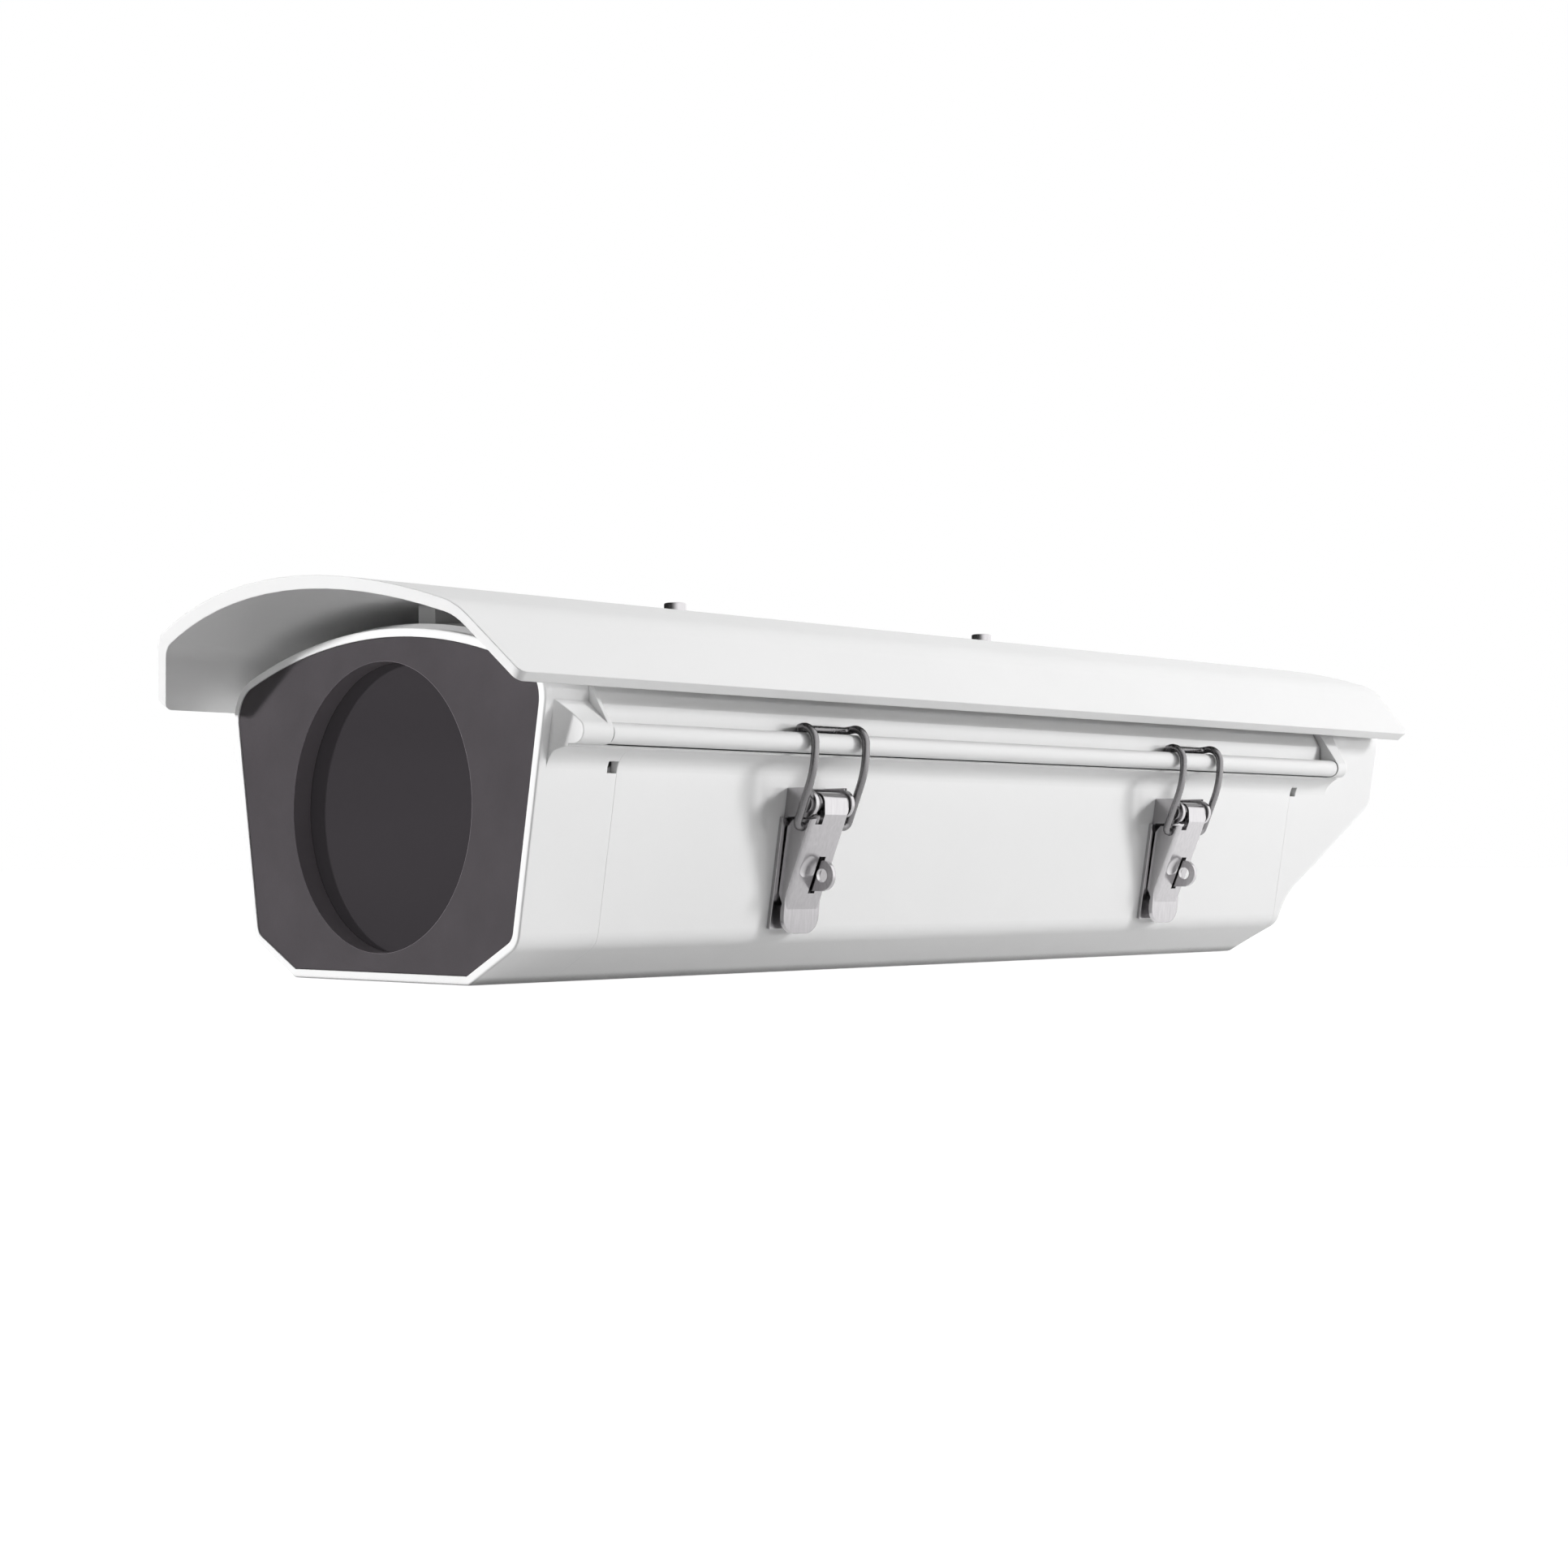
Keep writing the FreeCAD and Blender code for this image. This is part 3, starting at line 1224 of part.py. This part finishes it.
def make_gland_body(x):
    """Gland body: threaded shank through the wall, hexagon flange and short outer thread."""
    solid = Part.makeCylinder(gland_radius, gland_shank, V(0, 0, -gland_shank))
    solid = solid.fuse(hexagon(gland_flats, gland_flange))
    solid = solid.fuse(Part.makeCylinder(gland_radius, dome_overlap, V(0, 0, gland_flange)))
    length = gland_shank + gland_flange + dome_overlap
    bore = Part.makeCylinder(gland_bore_radius, length + 2, V(0, 0, -gland_shank - 1))
    return aimed(solid.cut(bore), gland_place(x, 0), slope_normal())


def make_gland_dome(x):
    """Domed nut that squeezes the seal on the cable."""
    solid = Part.makeCylinder(gland_flats / 2, dome_length)
    rim = [e for e in solid.Edges if e.BoundBox.ZMin > dome_length - 0.01]
    solid = solid.makeFillet(dome_rounding, rim[:1])
    solid = solid.common(hexagon(gland_flats - dome_flats_less, dome_length + 1))
    thread = Part.makeCylinder(gland_radius + thread_clearance, dome_overlap + thread_clearance)
    solid = solid.cut(thread)
    solid = solid.cut(Part.makeCylinder(dome_mouth_radius, dome_length + 2, V(0, 0, -1)))
    return aimed(solid, gland_place(x, gland_flange + thread_clearance), slope_normal())


def make_gland_seal(x):
    """Rubber sleeve inside the gland, open for the cable."""
    solid = Part.makeCylinder(seal_radius, seal_length)
    solid = solid.cut(Part.makeCylinder(seal_bore_radius, seal_length + 2, V(0, 0, -1)))
    return aimed(solid, gland_place(x, gland_flange + dome_overlap - 1), slope_normal())


def make_gland_locknut(x):
    """Hexagon locknut on the gland shank, against the inside of the wall."""
    solid = hexagon(gland_flats, gland_locknut)
    solid = solid.cut(Part.makeCylinder(gland_radius + thread_clearance, gland_locknut + 2, V(0, 0, -1)))
    return aimed(solid, gland_place(x, -cap_wall - gland_locknut), slope_normal())


def make_earth_screw():
    """Earthing screw with its square washer in the bottom of the lower body."""
    seat = wall + earth_washer
    x = earth_screw_x
    y = rear_joint_y - earth_screw_inset
    half = earth_washer_half
    washer = box(x - half, x + half, y - half, y + half, wall, seat)
    screw = pan_screw(m4_radius, m4_head_radius, m4_pan_height, earth_washer)
    return washer.fuse(aimed(screw, V(x, y, seat), V(0, 0, 1)))


def all_pieces():
    """Every piece of the housing by name."""
    pieces = {
        "lower_body": make_lower_body(),
        "front_cap": make_front_cap(),
        "rear_cap": make_rear_cap(),
        "front_panel": make_front_panel(),
        "window_glass": make_window_glass(),
        "glass_gasket": make_glass_gasket(),
        "glass_retainer": make_glass_retainer(),
        "retainer_screws": make_retainer_screws(),
        "panel_screws": make_panel_screws(),
        "cap_screws_front": make_cap_screws(front_joint_y - front_lug_length, -1),
        "cap_screws_rear": make_cap_screws(lower_rear_y, 1),
        "lid": make_lid(),
        "lid_gasket": make_lid_gasket(),
        "sunshield": make_sunshield(),
        "shield_screws": make_shield_screws(),
        "hinge_pin_front": make_hinge_pin(front_seat_y, 1),
        "hinge_pin_rear": make_hinge_pin(rear_seat_y, -1),
        "latch_rivets": make_latch_rivets(),
        "mount_inserts": make_mount_inserts(),
        "camera_sled": make_camera_sled(),
        "sled_spacers": make_sled_spacers(),
        "sled_screws": make_sled_screws(),
        "camera_screw": make_camera_screw(),
        "terminal_board": make_terminal_board(),
        "board_spacers": make_board_spacers(),
        "board_screws": make_board_screws(),
        "terminal_block": make_terminal_block(),
        "earth_screw": make_earth_screw(),
    }
    for place, centre in zip(("front", "rear"), latch_y):
        pieces["latch_base_" + place] = make_latch_base(centre)
        pieces["latch_lever_" + place] = make_latch_lever(centre)
        pieces["latch_pin_" + place] = make_latch_pin(centre)
        pieces["latch_spring_" + place] = make_latch_spring(centre)
        pieces["latch_bail_" + place] = make_latch_bail(centre)
    for number, x in enumerate(gland_x, 1):
        pieces["gland_body_%d" % number] = make_gland_body(x)
        pieces["gland_dome_%d" % number] = make_gland_dome(x)
        pieces["gland_seal_%d" % number] = make_gland_seal(x)
        pieces["gland_locknut_%d" % number] = make_gland_locknut(x)
    return pieces


os.makedirs("parts", exist_ok=True)
for name, shape in all_pieces().items():
    shape.exportStep(os.path.join("parts", name + ".step"))
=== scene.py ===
import bpy
import json
import math
from mathutils import Matrix, Vector


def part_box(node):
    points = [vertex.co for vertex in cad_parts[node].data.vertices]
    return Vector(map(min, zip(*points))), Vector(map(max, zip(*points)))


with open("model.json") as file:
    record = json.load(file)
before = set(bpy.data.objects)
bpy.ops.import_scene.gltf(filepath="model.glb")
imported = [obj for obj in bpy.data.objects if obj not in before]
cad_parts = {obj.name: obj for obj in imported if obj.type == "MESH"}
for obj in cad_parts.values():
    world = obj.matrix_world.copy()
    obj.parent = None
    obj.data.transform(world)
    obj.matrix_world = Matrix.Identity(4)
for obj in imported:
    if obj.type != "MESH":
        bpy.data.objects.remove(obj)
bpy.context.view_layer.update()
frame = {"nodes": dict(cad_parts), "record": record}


def new_material(name, colour, roughness, metallic=0.0):
    """New material, its node tree and its Principled shader."""
    material = bpy.data.materials.new(name)
    material.use_nodes = True
    material.diffuse_color = (*colour, 1.0)
    shader = material.node_tree.nodes["Principled BSDF"]
    shader.inputs["Base Color"].default_value = (*colour, 1.0)
    shader.inputs["Roughness"].default_value = roughness
    shader.inputs["Metallic"].default_value = metallic
    return material, material.node_tree, shader


def add(tree, kind, **values):
    """New node with its inputs or properties set by name."""
    node = tree.nodes.new(kind)
    for key, value in values.items():
        label = key.replace("_", " ")
        if label in node.inputs:
            node.inputs[label].default_value = value
        else:
            setattr(node, key, value)
    return node


def noise(tree, scale, detail=3.0, stretch=(1.0, 1.0, 1.0)):
    """Noise over the object's own coordinates, in metres, stretched along an axis."""
    place = add(tree, "ShaderNodeTexCoord")
    turn = add(tree, "ShaderNodeMapping", Scale=stretch)
    cloud = add(tree, "ShaderNodeTexNoise", Scale=scale, Detail=detail, Roughness=0.55)
    tree.links.new(place.outputs["Object"], turn.inputs["Vector"])
    tree.links.new(turn.outputs["Vector"], cloud.inputs["Vector"])
    return cloud.outputs["Fac"]


def ranged(tree, value, source, result, **how):
    """Value moved from one range into another and kept inside it."""
    (from_min, from_max), (to_min, to_max) = source, result
    ends = {"From_Min": from_min, "From_Max": from_max, "To_Min": to_min, "To_Max": to_max}
    ramp = add(tree, "ShaderNodeMapRange", **ends, **how)
    tree.links.new(value, ramp.inputs["Value"])
    return ramp.outputs["Result"]


def spread(tree, cloud, low, high, socket):
    """Feed a socket with noise spread between two numbers."""
    tree.links.new(ranged(tree, cloud, (0.25, 0.75), (low, high)), socket)


def shade(colour, factor):
    """Colour made lighter or darker by a factor."""
    return tuple(min(1.0, c * factor) for c in colour)


def tint(tree, cloud, colour, dark, light, socket):
    """Feed a socket with a colour that noise varies between two factors."""
    ramp = add(tree, "ShaderNodeValToRGB")
    ends = ramp.color_ramp.elements
    ends[0].position = 0.3
    ends[0].color = (*shade(colour, dark), 1.0)
    ends[1].position = 0.7
    ends[1].color = (*shade(colour, light), 1.0)
    tree.links.new(cloud, ramp.inputs["Fac"])
    tree.links.new(ramp.outputs["Color"], socket)


def relief(tree, shader, height, depth, strength=1.0, edge=0.0):
    """Surface relief of a depth in metres, with edges that look rounded."""
    bump = add(tree, "ShaderNodeBump", Strength=strength, Distance=depth)
    tree.links.new(height, bump.inputs["Height"])
    if edge:
        soft = add(tree, "ShaderNodeBevel", Radius=edge, samples=6)
        tree.links.new(soft.outputs["Normal"], bump.inputs["Normal"])
    tree.links.new(bump.outputs["Normal"], shader.inputs["Normal"])


def paint_white():
    """White powder coating with fine orange peel, faint unevenness and painted shade that darkens its
    corners.
    """
    white = (0.8, 0.8, 0.8)
    corner_reach = 0.003
    material, tree, shader = new_material("white_powder_coat", white, 0.4)
    corners = add(tree, "ShaderNodeAmbientOcclusion", Distance=corner_reach, samples=6)
    # painted shade: ambient occlusion darkens the paint's colour in corners, creases and joints between
    # parts
    corner_shade = ranged(tree, corners.outputs["AO"], (0.1, 0.6), (0.25, 1.0))
    paint = add(tree, "ShaderNodeVectorMath", operation="SCALE")
    tint(tree, noise(tree, 14.0), white, 0.985, 1.01, paint.inputs[0])
    tree.links.new(corner_shade, paint.inputs["Scale"])
    tree.links.new(paint.outputs["Vector"], shader.inputs["Base Color"])
    spread(tree, noise(tree, 220.0), 0.38, 0.46, shader.inputs["Roughness"])
    shader.inputs["Specular IOR Level"].default_value = 0.4
    relief(tree, shader, noise(tree, 1500.0, 2.0), 0.00002, 0.5, 0.0005)
    return material


def grained_plastic(name, colour, roughness, grain=1800.0):
    """Moulded plastic with a fine grain and slightly uneven gloss."""
    material, tree, shader = new_material(name, colour, roughness)
    fine = noise(tree, grain, 2.0)
    tint(tree, noise(tree, 60.0), colour, 0.9, 1.1, shader.inputs["Base Color"])
    spread(tree, fine, roughness - 0.06, roughness + 0.06, shader.inputs["Roughness"])
    shader.inputs["Specular IOR Level"].default_value = 0.3
    relief(tree, shader, fine, 0.00003, 0.6, 0.0003)
    return material


def dark_panel():
    """Dark moulded panel with a fine grain, and painted light that makes the wall of the window opening
    paler.
    """
    colour = (0.07, 0.0635, 0.069)
    material, tree, shader = new_material("dark_panel", colour, 0.5)
    glass_overlap = 0.0034
    hair = 0.0001
    low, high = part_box("window_glass")
    axis_z = (low[2] + high[2]) / 2
    opening = (high[0] - low[0]) / 2 - glass_overlap + hair
    place = add(tree, "ShaderNodeTexCoord")
    across = add(tree, "ShaderNodeMapping", Location=(0.0, 0.0, -axis_z), Scale=(1.0, 0.0, 1.0))
    tree.links.new(place.outputs["Object"], across.inputs["Vector"])
    radius = add(tree, "ShaderNodeVectorMath", operation="LENGTH")
    tree.links.new(across.outputs["Vector"], radius.inputs[0])
    inside = add(tree, "ShaderNodeMath", operation="LESS_THAN")
    inside.inputs[1].default_value = opening
    tree.links.new(radius.outputs["Value"], inside.inputs[0])
    # painted light: the wall of the window opening gets a colour 2.4 times paler than the panel, standing
    # in for light that falls on it
    bore_painted_light = add(tree, "ShaderNodeMixRGB", Color2=(*shade(colour, 2.4), 1.0))
    tree.links.new(inside.outputs["Value"], bore_painted_light.inputs["Fac"])
    tint(tree, noise(tree, 60.0), colour, 0.93, 1.06, bore_painted_light.inputs["Color1"])
    tree.links.new(bore_painted_light.outputs["Color"], shader.inputs["Base Color"])
    fine = noise(tree, 2200.0, 2.0)
    spread(tree, fine, 0.46, 0.56, shader.inputs["Roughness"])
    shader.inputs["Specular IOR Level"].default_value = 0.14
    relief(tree, shader, fine, 0.00003, 0.6, 0.0003)
    return material


def brushed(name, colour, roughness, stretch):
    """Metal with fine brushing marks along one axis."""
    material, tree, shader = new_material(name, colour, roughness, 1.0)
    marks = noise(tree, 1400.0, 3.0, stretch)
    tint(tree, marks, colour, 0.95, 1.04, shader.inputs["Base Color"])
    spread(tree, marks, roughness - 0.03, roughness + 0.04, shader.inputs["Roughness"])
    relief(tree, shader, marks, 0.000004, 0.5, 0.00025)
    return material


def rubber(name, colour):
    """Soft black rubber with a dusty, uneven surface."""
    material, tree, shader = new_material(name, colour, 0.7)
    tint(tree, noise(tree, 90.0), colour, 0.8, 1.5, shader.inputs["Base Color"])
    relief(tree, shader, noise(tree, 900.0), 0.00005, 0.6, 0.0003)
    return material


def dark_glass():
    """Smoky glass with faint bands in its tint; a weak glow is painted light that brightens it."""
    colour = (0.026, 0.0235, 0.026)
    material, tree, shader = new_material("smoky_glass", colour, 0.09)
    bands = noise(tree, 16.0, 2.0, (0.12, 1.0, 1.0))
    tint(tree, bands, colour, 0.88, 1.1, shader.inputs["Base Color"])
    # painted light: the glass glows faintly, though it is no lamp
    tint(tree, bands, colour, 0.92, 1.08, shader.inputs["Emission Color"])
    shader.inputs["Emission Strength"].default_value = 0.65
    spread(tree, noise(tree, 40.0), 0.07, 0.12, shader.inputs["Roughness"])
    shader.inputs["IOR"].default_value = 1.5
    shader.inputs["Specular IOR Level"].default_value = 0.25
    return material


def circuit_board():
    """Green lacquered board with faint copper tracks under the lacquer."""
    colour = (0.012, 0.09, 0.035)
    material, tree, shader = new_material("board_lacquer", colour, 0.35)
    place = add(tree, "ShaderNodeTexCoord")
    bricks = add(tree, "ShaderNodeTexBrick", Scale=220.0, Mortar_Size=0.03)
    for socket, factor in (("Color1", 1.0), ("Color2", 1.15), ("Mortar", 1.9)):
        bricks.inputs[socket].default_value = (*shade(colour, factor), 1.0)
    tree.links.new(place.outputs["Object"], bricks.inputs["Vector"])
    tree.links.new(bricks.outputs["Color"], shader.inputs["Base Color"])
    relief(tree, shader, bricks.outputs["Fac"], 0.00003, 0.5)
    return material


looks = {
    "white_paint": paint_white(),
    "dark_plastic": dark_panel(),
    "window_glass": dark_glass(),
    "black_rubber": rubber("black_rubber", (0.02, 0.02, 0.021)),
    "grey_plastic": grained_plastic("gland_nylon", (0.035, 0.035, 0.037), 0.45),
    "plain_aluminium": brushed("mill_aluminium", (0.72, 0.73, 0.74), 0.34, (1.0, 0.06, 1.0)),
    "board_green": circuit_board(),
    "block_plastic": grained_plastic("block_plastic", (0.03, 0.14, 0.07), 0.35, 900.0),
    "black_plastic": grained_plastic("black_plastic", (0.02, 0.02, 0.02), 0.42),
    "steel_inserts": brushed("zinc_steel", (0.6, 0.6, 0.58), 0.36, (1.0, 1.0, 0.1)),
    "bright_steel": brushed("bright_steel", (0.44, 0.43, 0.44), 0.22, (1.0, 1.0, 0.08)),
    "wire": brushed("steel_wire", (0.2, 0.195, 0.2), 0.26, (1.0, 1.0, 0.08)),
}

slot_of = {part["node"]: part["material_slot"] for part in frame["record"]["subparts"]}
for name, node in frame["nodes"].items():
    is_wire = "bail" in name or "spring" in name
    node.data.materials.clear()
    node.data.materials.append(looks["wire" if is_wire else slot_of[name]])


def by_ray(tree, diffuse, straight, mirrored):
    """Shader that differs for light, for what is seen straight or through glass, and for reflections."""
    path = add(tree, "ShaderNodeLightPath")
    seen = add(tree, "ShaderNodeMath", operation="MAXIMUM")
    tree.links.new(path.outputs["Is Camera Ray"], seen.inputs[0])
    tree.links.new(path.outputs["Is Transmission Ray"], seen.inputs[1])
    direct = add(tree, "ShaderNodeMixShader")
    tree.links.new(seen.outputs["Value"], direct.inputs["Fac"])
    tree.links.new(diffuse, direct.inputs[1])
    tree.links.new(straight, direct.inputs[2])
    whole = add(tree, "ShaderNodeMixShader")
    tree.links.new(path.outputs["Is Glossy Ray"], whole.inputs["Fac"])
    tree.links.new(direct.outputs["Shader"], whole.inputs[1])
    tree.links.new(mirrored, whole.inputs[2])
    return whole.outputs["Shader"]


def studio_sides(tree, place, reach):
    """Brightness of the studio in reflections: bright past the latches and the rear, else dark."""
    towards = add(tree, "ShaderNodeVectorMath", operation="DOT_PRODUCT")
    towards.inputs[1].default_value = (0.7, 0.71, 0.0)
    tree.links.new(place, towards.inputs[0])
    across = towards.outputs["Value"]
    return ranged(tree, across, (-reach, reach), (0.04, 1.9), interpolation_type="SMOOTHSTEP")


def stage_floor():
    """Plain pale floor that keeps a faint shadow and looks white."""
    below_part = 0.0002
    bpy.ops.mesh.primitive_plane_add(size=60.0, location=(0, 0, -below_part))
    floor = bpy.context.object
    floor.name = "floor"
    material, tree, shader = new_material("floor_white", (0.66, 0.66, 0.66), 0.9)
    glow = add(tree, "ShaderNodeEmission", Strength=0.86)
    both = add(tree, "ShaderNodeAddShader")
    tree.links.new(shader.outputs["BSDF"], both.inputs[0])
    tree.links.new(glow.outputs["Emission"], both.inputs[1])
    mirrored = add(tree, "ShaderNodeEmission")
    place = add(tree, "ShaderNodeTexCoord")
    tree.links.new(studio_sides(tree, place.outputs["Object"], 0.5), mirrored.inputs["Strength"])
    whole = by_ray(tree, shader.outputs["BSDF"], both.outputs["Shader"], mirrored.outputs["Emission"])
    tree.links.new(whole, tree.nodes["Material Output"].inputs["Surface"])
    floor.data.materials.append(material)


def studio_world():
    """Even grey light from all round, seen as white, and mirrored as a studio with one dark side."""
    world = bpy.data.worlds.new("studio")
    bpy.context.scene.world = world
    world.use_nodes = True
    tree = world.node_tree
    tree.nodes.clear()
    place = add(tree, "ShaderNodeTexCoord")
    lit, seen, mirrored = (
        add(tree, "ShaderNodeBackground", Color=(1.0, 1.0, 1.0, 1.0), Strength=strength)
        for strength in (0.2, 1.0, 1.0)
    )
    tree.links.new(studio_sides(tree, place.outputs["Generated"], 0.7), mirrored.inputs["Strength"])
    out = add(tree, "ShaderNodeOutputWorld")
    whole = by_ray(tree, *(side.outputs["Background"] for side in (lit, seen, mirrored)))
    tree.links.new(whole, out.inputs["Surface"])


def soft_box(name, place, target, width, height, power):
    """Rectangular soft light in watts that points at a target and shows in no reflection."""
    data = bpy.data.lights.new(name, "AREA")
    data.shape = "RECTANGLE"
    data.size = width
    data.size_y = height
    data.energy = power
    lamp = bpy.data.objects.new(name, data)
    lamp.location = place
    lamp.rotation_euler = (Vector(target) - Vector(place)).to_track_quat("-Z", "Y").to_euler()
    lamp.visible_camera = False
    lamp.visible_glossy = False
    bpy.context.scene.collection.objects.link(lamp)


def photo_camera():
    """Camera that looks as the photograph does, placed by a least-squares fit to it."""
    place = (0.55477, -0.59685, 0.03084)
    yaw, pitch, roll = (math.radians(a) for a in (43.864, 1.909, -0.155))
    forward = Vector((-math.sin(yaw) * math.cos(pitch), math.cos(yaw) * math.cos(pitch), math.sin(pitch)))
    right = Vector((math.cos(yaw), math.sin(yaw), 0.0))
    up = right.cross(forward)
    right, up = (
        math.cos(roll) * right + math.sin(roll) * up,
        -math.sin(roll) * right + math.cos(roll) * up,
    )
    data = bpy.data.cameras.new("photo_camera")
    data.sensor_width = 36.0
    data.lens = 57.447
    data.clip_start = 0.01
    camera = bpy.data.objects.new("photo_camera", data)
    turn = Matrix((right, up, -forward)).transposed().to_4x4()
    camera.matrix_world = Matrix.Translation(place) @ turn
    bpy.context.scene.collection.objects.link(camera)
    bpy.context.scene.camera = camera


stage_floor()
studio_world()
soft_box("window_side", (-1.9, -1.95, 0.33), (0, -0.18, 0.06), 0.14, 0.14, 90.0)
soft_box("latch_side", (3.0, 3.1, 1.5), (0, 0, 0.05), 0.9, 0.9, 138.0)
soft_box("low_side", (3.1, 2.3, 0.16), (0, 0, 0.03), 1.4, 0.3, 34.0)
soft_box("top", (-0.4, -0.6, 2.4), (0, 0, 0.1), 1.8, 2.4, 19.0)
photo_camera()
bpy.context.scene.view_settings.view_transform = "Standard"
